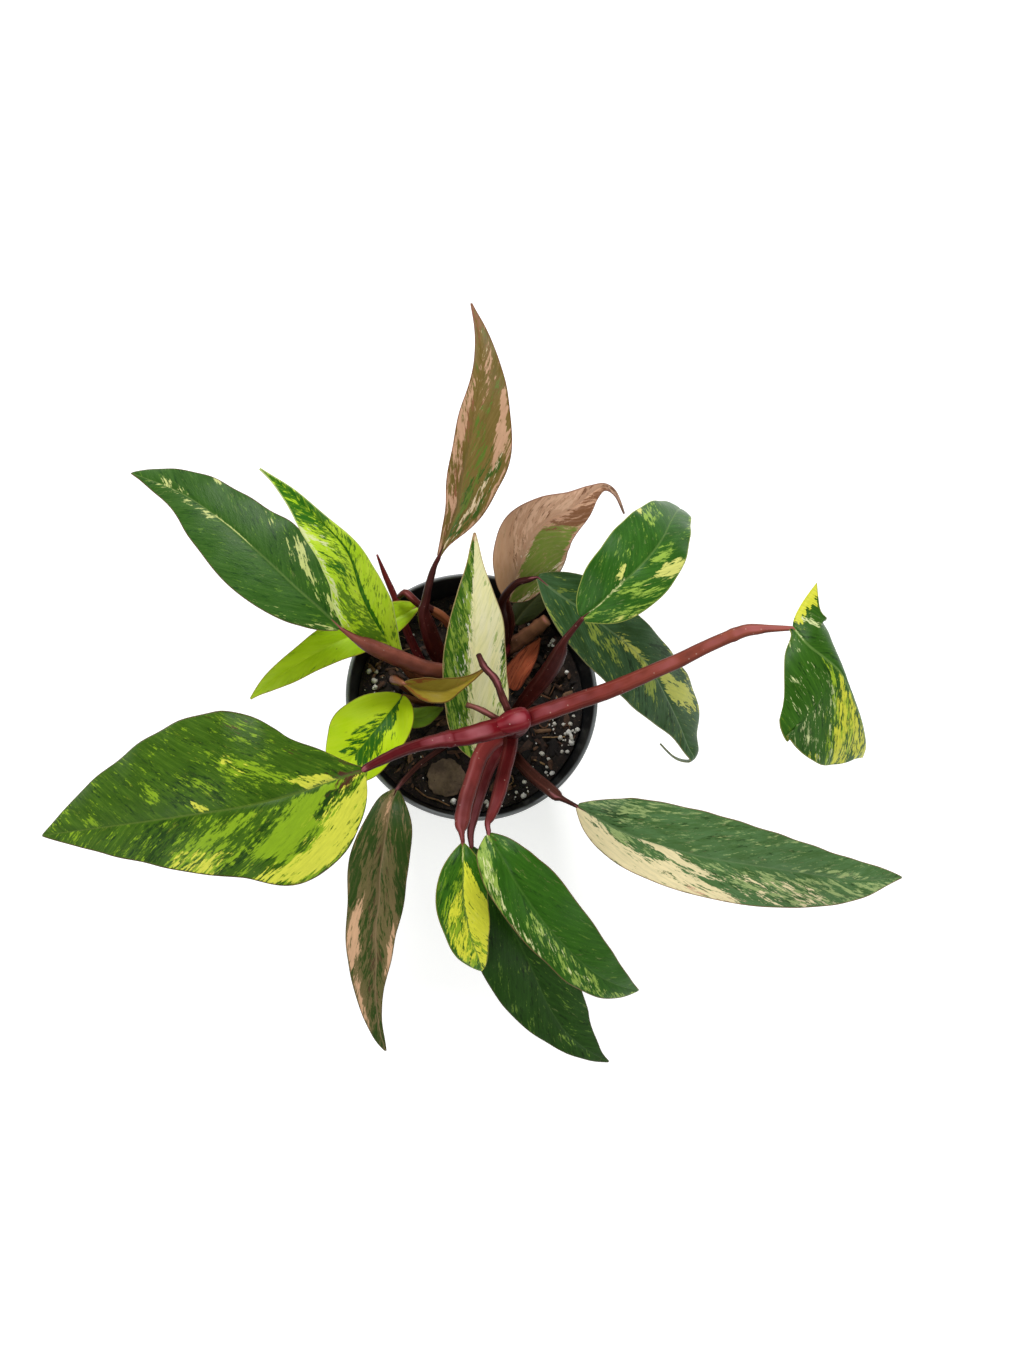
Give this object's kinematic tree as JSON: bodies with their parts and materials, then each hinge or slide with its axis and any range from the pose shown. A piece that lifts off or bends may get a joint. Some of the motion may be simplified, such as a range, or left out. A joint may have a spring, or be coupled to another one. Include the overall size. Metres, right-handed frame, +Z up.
{
  "type": "potted plant",
  "caption": "Potted philodendron with long variegated leaves in green, lime, cream and caramel pink on red stalks, in a plain round black nursery pot.",
  "frame": {"origin": "centre of the pot's flat base, on the surface that it stands on", "axes": "+Z up through the pot's mouth, +Y towards the leaf at the top of the picture, +X to the right"},
  "size_m": [0.3238, 0.2757, 0.1901],
  "materials": {
    "pot_plastic": "satin black moulded plastic",
    "potting_mix": "matt bark and peat mix with white perlite",
    "red_petiole": "satin wine-red stalk",
    "dark_petiole": "satin red-brown stalk",
    "leaf_green": "glossy green leaf with cream and yellow flecks",
    "leaf_lime": "glossy lime leaf with green streaks",
    "leaf_caramel": "satin caramel and pink leaf with green streaks",
    "leaf_cream": "satin cream leaf with green streaks",
    "dry_tissue": "matt dry sheath and fallen leaf"
  },
  "bodies": {
    "root": {"pot": "pot_plastic", "potting_mix": "potting_mix", "centre_shoot": "red_petiole", "left_shoot": "dark_petiole", "right_shoot": "dark_petiole", "seedling_stalks": "dark_petiole", "green_seedling_stalk": "dark_petiole", "southwest_stalk": "dark_petiole", "leaf_west_large": "leaf_green", "leaf_northwest": "leaf_green", "leaf_northwest_lime": "leaf_lime", "leaf_west_lime": "leaf_lime", "leaf_small_lime": "leaf_lime", "leaf_small_green": "leaf_green", "leaf_curled_caramel": "leaf_caramel", "leaf_centre_cream": "leaf_cream", "leaf_north": "leaf_caramel", "leaf_north_pink": "leaf_caramel", "leaf_shaded": "leaf_green", "leaf_northeast": "leaf_green", "leaf_east_dark": "leaf_green", "leaf_east_far": "leaf_green", "leaf_southeast": "leaf_green", "leaf_south_long": "leaf_green", "leaf_south_small": "leaf_lime", "leaf_south_dark": "leaf_green", "leaf_southwest": "leaf_caramel", "old_sheath": "dry_tissue", "fallen_leaf": "dry_tissue"}
  },
  "joints": []
}
